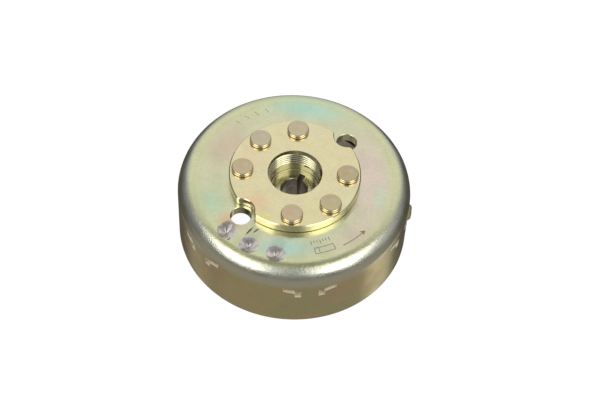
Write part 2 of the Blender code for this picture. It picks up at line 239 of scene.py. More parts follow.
def add_loft(work, rings):
    """Adds a closed solid through rings of the same number of points."""
    loops = [[work.verts.new(point) for point in ring] for ring in rings]
    count = len(loops[0])
    for low, high in zip(loops, loops[1:]):
        for i in range(count):
            j = (i + 1) % count
            work.faces.new((low[i], low[j], high[j], high[i]))
    work.faces.new(loops[0])
    work.faces.new(loops[-1])


def add_round(work, centre, profile, segments=64):
    """Adds a solid turned about an upright axis from (radius, height) pairs, from end to end."""
    rings = []
    for radius, height in profile:
        points = [polar(radius, 360.0 * i / segments) for i in range(segments)]
        rings.append([(centre[0] + p.x, centre[1] + p.y, height) for p in points])
    add_loft(work, rings)


def object_of(name, work, material=None):
    """Turns a bmesh of closed solids into an object."""
    bmesh.ops.recalc_face_normals(work, faces=work.faces)
    mesh = bpy.data.meshes.new(name)
    work.to_mesh(mesh)
    work.free()
    if material is not None:
        mesh.materials.append(material)
    return add_object(name, mesh)


def settle(made):
    """Applies an object's modifiers."""
    bpy.context.view_layer.update()
    evaluated = made.evaluated_get(bpy.context.evaluated_depsgraph_get())
    mesh = bpy.data.meshes.new_from_object(evaluated)
    made.modifiers.clear()
    made.data = mesh
    return made


def combine(made, other, operation):
    """Cuts another solid away from an object or joins it on, keeping the other's material."""
    boolean = made.modifiers.new("Cut", "BOOLEAN")
    boolean.operation = operation
    boolean.solver = "EXACT"
    boolean.material_mode = "TRANSFER"
    boolean.object = other
    settle(made)
    bpy.data.objects.remove(other, do_unlink=True)


def shade(made, sharp=32.0):
    """Smooth faces up to this angle in degrees, with large flat faces kept flat."""
    made.data.shade_smooth()
    made.data.set_sharp_from_angle(angle=math.radians(sharp))
    weighted = made.modifiers.new("Flat faces", "WEIGHTED_NORMAL")
    weighted.keep_sharp = True
    weighted.weight = 100
    return made


def finish_piece(made, node, materials=()):
    """Puts a finished piece in the frame in the place of its node."""
    for material in materials:
        made.data.materials.append(material)
    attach(made, BODY)
    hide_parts(node)


# Materials


def node(tree, kind, settings=None, values=None, links=None):
    """Adds a node: its settings, its sockets' values, and what feeds its sockets."""
    made = tree.nodes.new(kind)
    for key, value in (settings or {}).items():
        setattr(made, key, value)
    for key, value in (values or {}).items():
        made.inputs[key].default_value = value
    for key, source in (links or {}).items():
        tree.links.new(source, made.inputs[key])
    return made


def new_material(name):
    """A material with only its output, and its tree."""
    material = bpy.data.materials.new(name)
    material.use_nodes = True
    material.node_tree.nodes.clear()
    return material, material.node_tree


def smooth(tree, source, start, end, low=0.0, high=1.0):
    """A soft step: low before start, high after end."""
    values = {"From Min": start, "From Max": end, "To Min": low, "To Max": high}
    ramp = node(
        tree, "ShaderNodeMapRange", {"interpolation_type": "SMOOTHSTEP"}, values, {"Value": source}
    )
    return ramp.outputs["Result"]


def calculate(tree, operation, first, second):
    """A sum, product or other operation on two sockets or numbers."""
    made = node(tree, "ShaderNodeMath", {"operation": operation})
    for index, term in enumerate((first, second)):
        if isinstance(term, (int, float)):
            made.inputs[index].default_value = term
        else:
            tree.links.new(term, made.inputs[index])
    return made.outputs[0]


def times(tree, first, second):
    """The product of two sockets or numbers."""
    return calculate(tree, "MULTIPLY", first, second)


def plus(tree, first, second):
    """The sum of two sockets or numbers."""
    return calculate(tree, "ADD", first, second)


def waves(tree, source, spacing):
    """A sine wave along a socket, with its crests this far apart."""
    return calculate(tree, "SINE", times(tree, source, math.tau / spacing), 0.0)


def vector_math(tree, operation, values, links):
    """One step of arithmetic on vectors."""
    made = node(tree, "ShaderNodeVectorMath", {"operation": operation}, values, links)
    return made.outputs["Value" if operation in ("LENGTH", "DOT_PRODUCT") else "Vector"]


def blend(tree, factor, first, second):
    """Mixes two colours, each a socket, a linear colour or a hex code."""
    made = node(tree, "ShaderNodeMix", {"data_type": "RGBA"})
    for index, term in ((0, factor), (6, first), (7, second)):
        if isinstance(term, str):
            term = linear(term)
        if isinstance(term, (int, float)):
            made.inputs[index].default_value = term
        elif isinstance(term, (tuple, list)):
            made.inputs[index].default_value = (*term, 1.0)
        else:
            tree.links.new(term, made.inputs[index])
    return made.outputs[2]


def noise(tree, vector, grain, detail=2.0, roughness=0.5):
    """Noise whose grains are about this long."""
    values = {"Scale": 1.0 / grain, "Detail": detail, "Roughness": roughness}
    return node(tree, "ShaderNodeTexNoise", None, values, {"Vector": vector}).outputs["Fac"]


def spot(tree, vector, centre, half_length, half_width, turn=0.0, soft=1.0):
    """A mask that is 1 inside an oval on the face and falls to 0 at its edge."""
    values = {
        "Location": (centre[0], centre[1], 0.0),
        "Rotation": (0.0, 0.0, math.radians(turn)),
        "Scale": (half_length, half_width, 1.0),
    }
    placed = node(tree, "ShaderNodeMapping", {"vector_type": "TEXTURE"}, values, {"Vector": vector})
    return smooth(tree, radius_of(tree, placed.outputs[0]), 1.0, 1.0 - soft)


def place_of(tree):
    """The object's own coordinates."""
    return node(tree, "ShaderNodeTexCoord").outputs["Object"]


def split(tree, vector):
    """The x, y and z of a vector."""
    return node(tree, "ShaderNodeSeparateXYZ", None, None, {"Vector": vector}).outputs


def radius_of(tree, vector):
    """Distance from the Z axis of these coordinates."""
    flat = vector_math(tree, "MULTIPLY", {1: (1.0, 1.0, 0.0)}, {0: vector})
    return vector_math(tree, "LENGTH", None, {0: flat})


def warped(tree, vector, grain, reach):
    """Coordinates pushed about, so that patches have no drawn edge."""
    values = {"Scale": 1.0 / grain, "Detail": 2.0, "Roughness": 0.5}
    texture = node(tree, "ShaderNodeTexNoise", None, values, {"Vector": vector})
    centred = vector_math(tree, "SUBTRACT", {1: (0.5, 0.5, 0.5)}, {0: texture.outputs["Color"]})
    scaled = vector_math(tree, "SCALE", {"Scale": reach}, {0: centred})
    return vector_math(tree, "ADD", None, {0: vector, 1: scaled})


def drawn_out(tree, vector, scale):
    """Coordinates scaled along Z. A scale below 1 draws a texture out along the axis."""
    values = {"Scale": (1.0, 1.0, scale)}
    made = node(tree, "ShaderNodeMapping", {"vector_type": "POINT"}, values, {"Vector": vector})
    return made.outputs[0]


def surface(tree, base, roughness, metallic=1.0, bump=None, bump_height=0.01 * MM, fixed=None):
    """The shader and output: base, roughness and bump may be sockets."""
    shader = node(tree, "ShaderNodeBsdfPrincipled", None, {"Metallic": metallic, **(fixed or {})})
    for key, term in (("Base Color", base), ("Roughness", roughness)):
        if isinstance(term, (int, float)):
            shader.inputs[key].default_value = term
        elif isinstance(term, tuple):
            shader.inputs[key].default_value = (*term, 1.0)
        else:
            tree.links.new(term, shader.inputs[key])
    if bump is not None:
        relief = node(tree, "ShaderNodeBump", None, {"Distance": bump_height}, {"Height": bump})
        tree.links.new(relief.outputs["Normal"], shader.inputs["Normal"])
    node(tree, "ShaderNodeOutputMaterial", None, None, {"Surface": shader.outputs["BSDF"]})


# Interference tints of the chromate film on the cup's face:
# (x, y, half length, half width) in mm, turn in degrees, colour and strength
FACE_PATCHES = (
    (36.0, 2.0, 19.0, 50.0, 8.0, "#DDCCBA", 1.00),
    (4.0, 47.0, 36.0, 14.0, -6.0, "#B0D8C6", 1.00),
    (-34.0, 18.0, 18.0, 23.0, -25.0, "#D1BBA4", 0.80),
    (42.0, -10.0, 6.0, 12.0, 10.0, "#C6DCBC", 0.60),
    (-40.0, -16.0, 10.0, 12.0, 20.0, "#B7D6B4", 0.70),
    (-4.0, -41.0, 22.0, 9.0, 6.0, "#B6DACA", 1.00),
    (32.0, -33.0, 20.0, 13.0, 40.0, "#DBC8B6", 0.85),
    (-31.5, -24.5, 6.5, 6.5, 0.0, "#E6B890", 0.70),
    (-26.0, -29.5, 6.0, 3.0, -20.0, "#D9B49A", 0.60),
)

FLANGE_PATCHES = (
    (-19.0, -20.0, 10.0, 9.0, 30.0, "#E9C49C", 0.75),
    (-13.5, -27.0, 8.0, 4.0, -25.0, "#E2D98E", 0.70),
    (-24.0, 4.0, 9.0, 16.0, 0.0, "#E3CDAB", 0.55),
    (6.0, 26.0, 18.0, 8.0, 0.0, "#DED6B6", 0.50),
    (24.0, -14.0, 10.0, 12.0, -30.0, "#DCD8AE", 0.60),
    (10.0, -24.0, 10.0, 7.0, 20.0, "#DDD3A0", 0.50),
)

# Marker strokes beside the drillings: (x, y, half length, half width) in mm and turn in degrees
MARKER_STROKES = (
    (-20.2, -32.4, 3.2, 0.60, 54.0),
    (-17.0, -32.0, 2.0, 0.55, 42.0),
    (-29.6, -37.6, 1.0, 0.50, 30.0),
)


def patched(tree, vector, base, patches):
    """Lays the tint patches over a base colour."""
    for x, y, half_length, half_width, turn, code, strength in patches:
        mask = spot(tree, vector, (x * MM, y * MM), half_length * MM, half_width * MM, turn)
        base = blend(tree, times(tree, mask, strength), base, code)
    return base


def chromate_on_drawn_steel(settings):
    """Yellow zinc chromate on deep-drawn mild steel: a satin mirror, grainy where it was stretched
    over the shoulder, with soft interference tints of green, straw and pink."""
    material, tree = new_material("Yellow zinc chromate on drawn steel")
    here = place_of(tree)
    height = split(tree, here)["Z"]
    radius = radius_of(tree, here)
    drift = warped(tree, here, 22.0 * MM, 9.0 * MM)
    face = patched(tree, drift, tuple(settings.face_tint), FACE_PATCHES)
    outer = smooth(tree, radius, 43.0 * MM, 49.5 * MM, 0.0, 0.55)
    face = blend(tree, outer, face, "#CFD29E")
    wall_noise = smooth(tree, noise(tree, here, 18.0 * MM), 0.40, 0.62)
    wall = blend(tree, wall_noise, tuple(settings.wall_tint), "#CDCA9C")
    rosy = smooth(tree, noise(tree, drift, 26.0 * MM), 0.52, 0.70, 0.0, 0.7)
    wall = blend(tree, rosy, wall, "#D9C0A0")
    on_face = smooth(tree, height, 27.0 * MM, 36.5 * MM)
    base = blend(tree, on_face, wall, face)
    mottle = smooth(tree, noise(tree, here, 1.6 * MM, 3.0), 0.35, 0.70, 0.0, 0.10)
    base = blend(tree, mottle, base, "#A89C78")
    stroke_place = warped(tree, here, 0.9 * MM, 0.7 * MM)
    for x, y, half_length, half_width, turn in MARKER_STROKES:
        centre = (x * MM, y * MM)
        mask = spot(tree, stroke_place, centre, half_length * MM, half_width * MM, turn, 0.45)
        ink = times(tree, mask, on_face)
        base = blend(tree, times(tree, ink, 0.85), base, "#2A2F1C")
    # The stretched grain is about 0.3 mm on the part; 0.7 mm is the finest that still shows.
    shoulder_in = smooth(tree, radius, 46.5 * MM, 49.5 * MM)
    shoulder_out = smooth(tree, height, 26.0 * MM, 31.0 * MM)
    shoulder = times(tree, shoulder_in, shoulder_out)
    pale = times(tree, shoulder, smooth(tree, height, 38.2 * MM, 36.8 * MM, 0.0, 0.85))
    base = blend(tree, pale, base, "#D9DACB")
    grain = noise(tree, here, 0.70 * MM, 2.0, 0.65)
    depth = calculate(tree, "MULTIPLY_ADD", shoulder, 3.2)
    depth.node.inputs[2].default_value = 0.12
    relief = times(tree, grain, depth)
    slow = times(tree, noise(tree, here, 6.0 * MM), 0.9)
    relief = plus(tree, relief, slow)
    haze = smooth(tree, noise(tree, here, 9.0 * MM, 4.0), 0.30, 0.75, 0.20, 0.32)
    surface(tree, base, haze, bump=relief, bump_height=0.030 * MM)
    return material


def chromate_on_turned_steel(settings):
    """Yellow zinc chromate on lathe-turned steel: a paler, glossier mirror with faint rings left
    by the tool."""
    material, tree = new_material("Yellow zinc chromate on turned steel")
    here = place_of(tree)
    height = split(tree, here)["Z"]
    radius = radius_of(tree, here)
    drift = warped(tree, here, 15.0 * MM, 7.0 * MM)
    base = patched(tree, drift, tuple(settings.tint), FLANGE_PATCHES)
    # Painted sheen: the flange's side below its top edge is made paler to stand in for the softbox light
    # it mirrors.
    side = smooth(tree, height, settings.flange_top - 0.2 * MM, settings.flange_top - 0.8 * MM)
    base = blend(tree, times(tree, side, 0.8), base, "#E6E0C0")
    # Painted shade: the counterbore's wall and thread are made darker and greyer, as the recess lies in
    # shade.
    inside = smooth(tree, radius, 13.4 * MM, 13.2 * MM)
    base = blend(tree, times(tree, inside, 0.9), base, "#BDB998")
    mottle = smooth(tree, noise(tree, here, 1.3 * MM, 3.0), 0.38, 0.72, 0.0, 0.09)
    base = blend(tree, mottle, base, "#A8946A")
    # Tool rings are 0.1 mm apart; they are drawn every 0.45 mm so that they show.
    rings = waves(tree, radius, 0.45 * MM)
    grain = noise(tree, here, 0.6 * MM, 2.0, 0.6)
    slow = times(tree, noise(tree, here, 7.0 * MM), 1.1)
    relief = plus(tree, times(tree, rings, 0.035), slow)
    relief = plus(tree, relief, times(tree, grain, 0.12))
    haze = smooth(tree, noise(tree, here, 6.0 * MM, 4.0), 0.30, 0.75, 0.15, 0.26)
    surface(tree, base, haze, bump=relief, bump_height=0.025 * MM)
    return material


def chromate_on_rivet(name, code, warm):
    """Gold zinc chromate on a cold-headed steel rivet: glossy round the edge, with a pressed
    face that took the tint unevenly."""
    material, tree = new_material(name)
    here = place_of(tree)
    height = split(tree, here)["Z"]
    radius = radius_of(tree, here)
    on_top = smooth(tree, height, RIVET_HIGH.z - 0.30 * MM, RIVET_HIGH.z - 0.06 * MM)
    drift = warped(tree, here, 4.0 * MM, 2.5 * MM)
    blush = spot(tree, drift, (-1.2 * MM, -0.8 * MM), 2.6 * MM, 2.0 * MM, 20.0)
    top = blend(tree, times(tree, blush, 0.5), code, warm)
    pale = spot(tree, drift, (1.4 * MM, 1.6 * MM), 2.2 * MM, 1.6 * MM, -20.0)
    top = blend(tree, times(tree, pale, 0.5), top, "#CFC2B8")
    base = blend(tree, on_top, "#E6D8B4", top)
    press = waves(tree, radius, 1.1 * MM)
    relief = times(tree, times(tree, press, on_top), 0.25)
    relief = plus(tree, relief, noise(tree, here, 1.1 * MM, 3.0))
    rough = smooth(tree, on_top, 0.0, 1.0, 0.16, 0.30)
    surface(tree, base, rough, bump=relief, bump_height=0.020 * MM)
    return material


def sheared_steel_painted_glint():
    """Zinc chromate on a torn edge: the plating is the same, on a matt, streaky break. Its near-white
    base is a painted glint: it stands in for the light that the stakes' upturned shelves catch."""
    material, tree = new_material("Sheared steel chromate with painted glint")
    here = place_of(tree)
    # The tear lines run with the punch; they are about 0.1 mm apart and drawn at 0.4 mm.
    tears = noise(tree, here, 0.4 * MM, 3.0, 0.6)
    tone = smooth(tree, tears, 0.30, 0.70)
    # Painted glint: the near-white straw colours stand in for light caught on the torn shelves.
    base = blend(tree, tone, "#F7F2E2", "#E6DDC4")
    surface(tree, base, 0.60, 0.45, tears, 0.04 * MM)
    return material


def chromate_in_stamped_marks():
    """The bottom of a stamped mark, coloured darker than the face: dull dark bronze."""
    material, tree = new_material("Dark bronze in stamped marks")
    here = place_of(tree)
    tone = smooth(tree, noise(tree, here, 0.8 * MM, 3.0), 0.35, 0.68)
    base = blend(tree, tone, "#8F8562", "#A79B76")
    surface(tree, base, 0.46, bump=noise(tree, here, 0.4 * MM), bump_height=0.02 * MM)
    return material


def drilled_steel(name, centre):
    """Bare mild steel left by a drill point: grey, with rings round the drilling's own axis that
    spread a light into two bright spokes."""
    material, tree = new_material(name)
    here = place_of(tree)
    values = {"Location": (-centre[0], -centre[1], 0.0)}
    own = node(tree, "ShaderNodeMapping", {"vector_type": "POINT"}, values, {"Vector": here})
    radius = radius_of(tree, own.outputs[0])
    # The drill's feed marks are 0.1 mm apart; 0.32 mm is the finest that still turns the light.
    rings = waves(tree, radius, 0.32 * MM)
    grain = noise(tree, here, 0.5 * MM, 2.0)
    relief = plus(tree, rings, times(tree, grain, 0.5))
    tone = smooth(tree, noise(tree, here, 1.8 * MM, 3.0), 0.30, 0.70)
    base = blend(tree, tone, "#D2CCC4", "#B6AFA8")
    point = smooth(tree, radius, 0.50 * MM, 0.15 * MM)
    base = blend(tree, point, base, "#4B4540")
    surface(tree, base, 0.20, bump=relief, bump_height=0.006 * MM)
    return material


def bored_steel():
    """Bare reamed steel in the tapered bore: grey and satin, with rings along its length."""
    material, tree = new_material("Bare reamed steel")
    here = place_of(tree)
    height = split(tree, here)["Z"]
    rings = waves(tree, height, 0.5 * MM)
    tone = smooth(tree, noise(tree, here, 3.0 * MM, 3.0), 0.30, 0.72)
    base = blend(tree, tone, "#A9A69C", "#8A877D")
    relief = plus(tree, times(tree, rings, 0.4), noise(tree, here, 0.6 * MM))
    surface(tree, base, 0.34, bump=relief, bump_height=0.012 * MM)
    return material


def sintered_ferrite():
    """Ground sintered strontium ferrite: a dark grey ceramic with a faint sparkle and small chips."""
    material, tree = new_material("Sintered ferrite")
    here = place_of(tree)
    tone = smooth(tree, noise(tree, here, 0.7 * MM, 4.0, 0.7), 0.35, 0.75)
    base = blend(tree, tone, "#3A3A3C", "#56565A")
    chips = smooth(tree, noise(tree, here, 2.4 * MM, 3.0), 0.66, 0.72)
    base = blend(tree, times(tree, chips, 0.5), base, "#6E6D6B")
    ground = noise(tree, drawn_out(tree, here, 0.08), 0.5 * MM, 3.0)
    relief = plus(tree, ground, times(tree, chips, -0.6))
    rough = smooth(tree, ground, 0.3, 0.7, 0.42, 0.62)
    surface(tree, base, rough, 0.0, relief, 0.03 * MM)
    return material


def moulded_nylon():
    """Glass-filled black nylon, moulded: matt, with the fine flow of the fibres in its skin."""
    material, tree = new_material("Moulded black nylon")
    here = place_of(tree)
    flow = noise(tree, warped(tree, here, 6.0 * MM, 4.0 * MM), 1.4 * MM, 4.0, 0.65)
    base = blend(tree, smooth(tree, flow, 0.35, 0.70), "#1D1D1C", "#34332F")
    rough = smooth(tree, flow, 0.3, 0.7, 0.45, 0.62)
    surface(tree, base, rough, 0.0, flow, 0.03 * MM)
    return material


def drawn_stainless():
    """Stainless sheet drawn into a sleeve: grey, satin, with draw lines along the axis."""
    material, tree = new_material("Drawn stainless steel")
    here = place_of(tree)
    draw = noise(tree, drawn_out(tree, here, 0.04), 0.6 * MM, 3.0, 0.6)
    tone = smooth(tree, noise(tree, here, 8.0 * MM, 3.0), 0.35, 0.70)
    base = blend(tree, tone, "#BDBBB6", "#A5A29B")
    rough = smooth(tree, draw, 0.3, 0.7, 0.22, 0.36)
    surface(tree, base, rough, bump=draw, bump_height=0.012 * MM)
    return material


# Rotor cup


def cup_profile(cup, hub):
    """The cup's section, from its centre hole round the outside and back inside."""
    hole = hub.boss_radius + GAP
    chamfer = 0.5 * MM
    corner = 4.5 * MM
    inner = cup.radius - cup.wall
    ceiling = cup.height - cup.face
    points = [(hole, cup.height)]
    points += [(cup.radius - cup.shoulder - 1.0 * MM, cup.height)]
    points += arc((cup.radius - cup.shoulder, cup.height - cup.shoulder), cup.shoulder, 90.0, 0.0, 24)
    points += [(cup.radius, chamfer + 0.6 * MM)]
    points += arc((cup.radius - chamfer, chamfer), chamfer, 0.0, -90.0, 4)
    points += arc((inner + chamfer, chamfer), chamfer, -90.0, -180.0, 4)
    points += arc((inner - corner, ceiling - corner), corner, 0.0, 90.0, 10)
    points += [(hole, ceiling)]
    return points


# One lanced stake, as (along the wall from the magnet's end, height, depth of the punched ramp)
# in mm. Its sheared lower edge is stepped round the magnet's corner.
STAKE_OUTLINE = (
    (-3.6, 20.6, 3.1),
    (-0.4, 20.6, 3.1),
    (-0.4, 23.7, 2.6),
    (5.0, 24.9, 2.4),
    (5.4, 27.9, 0.2),
    (-3.6, 25.4, 0.2),
)
STAKE_SKIN = 0.8 * MM
STAKE_METAL = 3.25 * MM


def add_stake(work, cup, degrees, side, near, far):
    """Adds a prism on a stake's outline between two depths below the wall's surface."""
    turn = Matrix.Rotation(math.radians(degrees), 3, "Z")
    rings = []
    for depth_of in (near, far):
        ring = []
        for along, height, depth in STAKE_OUTLINE:
            radius = cup.radius - depth_of(depth * MM)
            ring.append(turn @ Vector((radius, side * along * MM, height * MM)))
        rings.append(ring)
    add_loft(work, rings)


def add_all_stakes(work, cup, gap_half, near, far):
    """Adds two stakes beside each gap between magnets."""
    for gap in range(MAGNET_COUNT):
        for side in (-1, 1):
            degrees = FIRST_GAP + MAGNET_PITCH * gap + side * math.degrees(gap_half)
            add_stake(work, cup, degrees, side, near, far)


def add_lug(work, sections):
    """Adds the trigger lug's block through (radius, half length, half width) sections."""
    turn = Matrix.Rotation(math.radians(LUG_ANGLE), 3, "Z")
    corner = 0.9 * MM
    rings = []
    for radius, half_length, half_width in sections:
        ring = []
        for quarter, (sx, sz) in enumerate(((1, 1), (-1, 1), (-1, -1), (1, -1))):
            centre = (sx * (half_length - corner), sz * (half_width - corner))
            for y, z in arc(centre, corner, 90.0 * quarter, 90.0 * quarter + 90.0, 4):
                ring.append(turn @ Vector((radius, y, LUG_HEIGHT + z)))
        rings.append(ring)
    add_loft(work, rings)


def add_groove(work, outline, cup):
    """Adds a solid on an outline on the face, to press a shallow mark with."""
    rings = []
    for height in (cup.height - MARK_DEPTH, cup.height + 1.0 * MM):
        rings.append([(point[0], point[1], height) for point in outline])
    add_loft(work, rings)


def add_groove_arc(work, cup, radius, start, end, width):
    """Adds a groove that runs along a circle round the shaft."""
    outline = arc((0.0, 0.0), radius + width / 2, start, end, 10)
    outline += arc((0.0, 0.0), radius - width / 2, end, start, 10)
    add_groove(work, outline, cup)


def add_groove_line(work, cup, start, end, width):
    """Adds a straight groove between two points on the face."""
    run = end - start
    across = Vector((-run.y, run.x)).normalized() * width / 2
    add_groove(work, [start - across, end - across, end + across, start + across], cup)


def stamped_marks(cup):
    """Plain shop marks in the face: an arrow for the way it turns, a row of ticks and a frame."""
    work = bmesh.new()
    width = 0.34 * MM
    shaft = arc((0.0, 0.0), 45.2 * MM, 303.0, 318.0, 10)
    tip = [polar(46.5 * MM, 317.4), polar(45.0 * MM, 320.6), polar(43.5 * MM, 317.4)]
    back = arc((0.0, 0.0), 44.8 * MM, 318.0, 303.0, 10)
    add_groove(work, shaft + tip + back, cup)
    for tick in range(7):
        degrees = 284.0 + 2.2 * tick
        reach = 39.8 if tick % 3 == 0 else 39.0
        start, end = polar(37.6 * MM, degrees), polar(reach * MM, degrees)
        add_groove_line(work, cup, start, end, width)
    for radius in (41.8 * MM, 45.0 * MM):
        add_groove_arc(work, cup, radius, 285.0, 298.0, width)
    for degrees in (285.2, 288.0, 297.8):
        add_groove_line(work, cup, polar(42.1 * MM, degrees), polar(44.7 * MM, degrees), width)
    for scratch in range(4):
        degrees = 110.0 + 7.0 * scratch
        start, end = polar(43.0 * MM, degrees), polar(45.8 * MM, degrees + 1.5)
        add_groove_line(work, cup, start, end, 0.22 * MM)
    return object_of("stamped_marks", work, chromate_in_stamped_marks())


def build_cup(context):
    """Draws the cup, lances its stakes, presses its lug and drills it."""
    cup = context.scene.flywheel_cup
    hub = context.scene.flywheel_hub
    rivets = context.scene.flywheel_rivets
    gap_half = context.scene.flywheel_magnets.gap_half
    made = settle(turned("drawn_cup", cup_profile(cup, hub)))
    made.data.materials.append(chromate_on_drawn_steel(cup))

    work = bmesh.new()
    inner = cup.radius - cup.wall
    add_all_stakes(work, cup, gap_half, lambda d: d + STAKE_SKIN, lambda d: d + STAKE_METAL)
    add_lug(
        work,
        (
            (cup.radius - 1.5 * MM, 4.5 * MM, 4.0 * MM),
            (cup.radius, 3.5 * MM, 3.0 * MM),
            (cup.radius + cup.lug_proud * 0.8, 2.8 * MM, 2.35 * MM),
            (cup.radius + cup.lug_proud, 2.35 * MM, 1.9 * MM),
        ),
    )
    combine(made, object_of("pressed_metal", work), "UNION")

    work = bmesh.new()
    add_all_stakes(work, cup, gap_half, lambda d: -2.0 * MM, lambda d: d)
    combine(made, object_of("stake_punch", work, sheared_steel_painted_glint()), "DIFFERENCE")

    work = bmesh.new()
    hollow = ((inner - 1.0 * MM, 3.5 * MM, 3.0 * MM), (inner + 1.5 * MM, 2.9 * MM, 2.4 * MM))
    add_lug(work, hollow)
    ceiling = cup.height - cup.face
    reach = 2.0 * MM
    edge = 0.2 * MM
    over = 0.2 * MM
    for place in RIVET_PLACES:
        radius = rivets.shank_radius + GAP
        centre = polar(RIVET_CIRCLE, place_angle(place))
        add_round(work, centre, ((radius, ceiling - reach), (radius, cup.height + reach)), 32)
    for place in TOOL_PLACES:
        radius = cup.tool_hole
        profile = (
            (radius + edge + over, ceiling - over),
            (radius, ceiling + edge),
            (radius, cup.height - edge),
            (radius + edge + over, cup.height + over),
        )
        add_round(work, polar(TOOL_CIRCLE, place_angle(place)), profile)
    combine(made, object_of("punched_shapes", work), "DIFFERENCE")

    rise = 0.6 * MM
    for count, degrees in enumerate(DRILLING_ANGLES, start=1):
        centre = polar(DRILLING_CIRCLE, degrees)
        work = bmesh.new()
        slope = cup.drilling / cup.drilling_depth
        profile = (
            (0.12 * MM, cup.height - cup.drilling_depth),
            (cup.drilling + rise * slope, cup.height + rise),
        )
        add_round(work, centre, profile, 96)
        steel = drilled_steel(f"Drilled steel {count}", centre)
        combine(made, object_of("drill_point", work, steel), "DIFFERENCE")
    combine(made, stamped_marks(cup), "DIFFERENCE")
    finish_piece(shade(made), "rotor_cup")


# Hub


def thread_span(hub):
    """The lowest and highest ring of the thread."""
    high = hub.flange_top - hub.bevel
    return high - THREAD_TURNS * hub.pitch, high


def hub_profile(hub, cup):
    """The hub's section. The counterbore's wall has the many rings that its thread is cut in."""
    seat = cup.height + GAP
    nut_seat = hub.flange_top - hub.counterbore
    taper_end = hub.bore + BORE_TAPER * (nut_seat - hub.boss_end)
    chamfer = 0.5 * MM
    bore_edge = 0.4 * MM
    fillet = 0.5 * MM
    points = [(hub.mouth, hub.flange_top)]
    points += [(hub.flange_radius - chamfer - 1.0 * MM, hub.flange_top)]
    points += [(hub.flange_radius - chamfer, hub.flange_top)]
    points += [(hub.flange_radius, hub.flange_top - chamfer)]
    points += [(hub.flange_radius, seat + 0.15 * MM), (hub.flange_radius - 0.15 * MM, seat)]
    points += [(hub.boss_radius, seat)]
    points += [(hub.boss_radius, hub.boss_end + 1.0 * MM), (hub.boss_radius - 1.0 * MM, hub.boss_end)]
    points += [(taper_end + bore_edge, hub.boss_end), (taper_end, hub.boss_end + bore_edge)]
    points += [(hub.bore, nut_seat - bore_edge), (hub.bore + bore_edge, nut_seat)]
    points += arc((hub.thread_minor - fillet, nut_seat + fillet), fillet, -90.0, 0.0, 6)
    low, high = thread_span(hub)
    rings = round((high - low) / hub.pitch) * RINGS_PER_TURN
    points += [(hub.thread_minor, low + (high - low) * i / rings) for i in range(rings + 1)]
    return points


def cut_thread(made, hub):
    """Cuts the puller thread as a helix into the counterbore's wall, fading out at its inner end."""
    low, high = thread_span(hub)
    depth = hub.thread_major - hub.thread_minor
    for vert in made.data.vertices:
        x, y, z = vert.co
        radius = math.hypot(x, y)
        if abs(radius - hub.thread_minor) > 0.01 * MM or z < low:
            continue
        turn = (z - low) / hub.pitch - math.atan2(y, x) / math.tau
        ridge = 1.0 - abs(2.0 * (turn - math.floor(turn)) - 1.0)
        # A flat crest over a quarter of the pitch and a flat root over a tenth
        ridge = min(max((ridge - 0.25) / 0.65, 0.0), 1.0)
        fade = min((z - low) / (0.5 * hub.pitch), 1.0)
        scale = (hub.thread_minor + depth * ridge * fade) / radius
        vert.co = (x * scale, y * scale, z)
    made.data.update()


def scallop_outline(hub, degrees, grow):
    """The outline cut from the flange round a tool hole. The flange's corners stay rounded."""
    scallop = 6.5 * MM + grow
    corner = 2.5 * MM - grow
    from_axis = hub.flange_radius - 2.5 * MM
    from_hole = scallop + corner
    # The corner's centre is where the circles at these distances from the two axes meet.
    along = (from_axis**2 - from_hole**2 + TOOL_CIRCLE**2) / (2 * TOOL_CIRCLE)
    across = math.sqrt(from_axis**2 - along**2)
    outward = math.degrees(math.atan2(across, along))
    inward = math.degrees(math.atan2(-across, TOOL_CIRCLE - along))
    rounding = arc((along, across), corner, outward, inward, 10)
    inner = arc((TOOL_CIRCLE, 0.0), scallop, inward + 180.0, 180.0 - inward, 40)
    start = tuple(polar(hub.flange_radius + 6.0 * MM, outward))
    half = [start] + rounding + inner[1:-1]
    mirrored = [(x, -y) for x, y in reversed([start] + rounding)]
    turn = Matrix.Rotation(math.radians(degrees), 2)
    return [turn @ Vector(point) for point in half + mirrored]


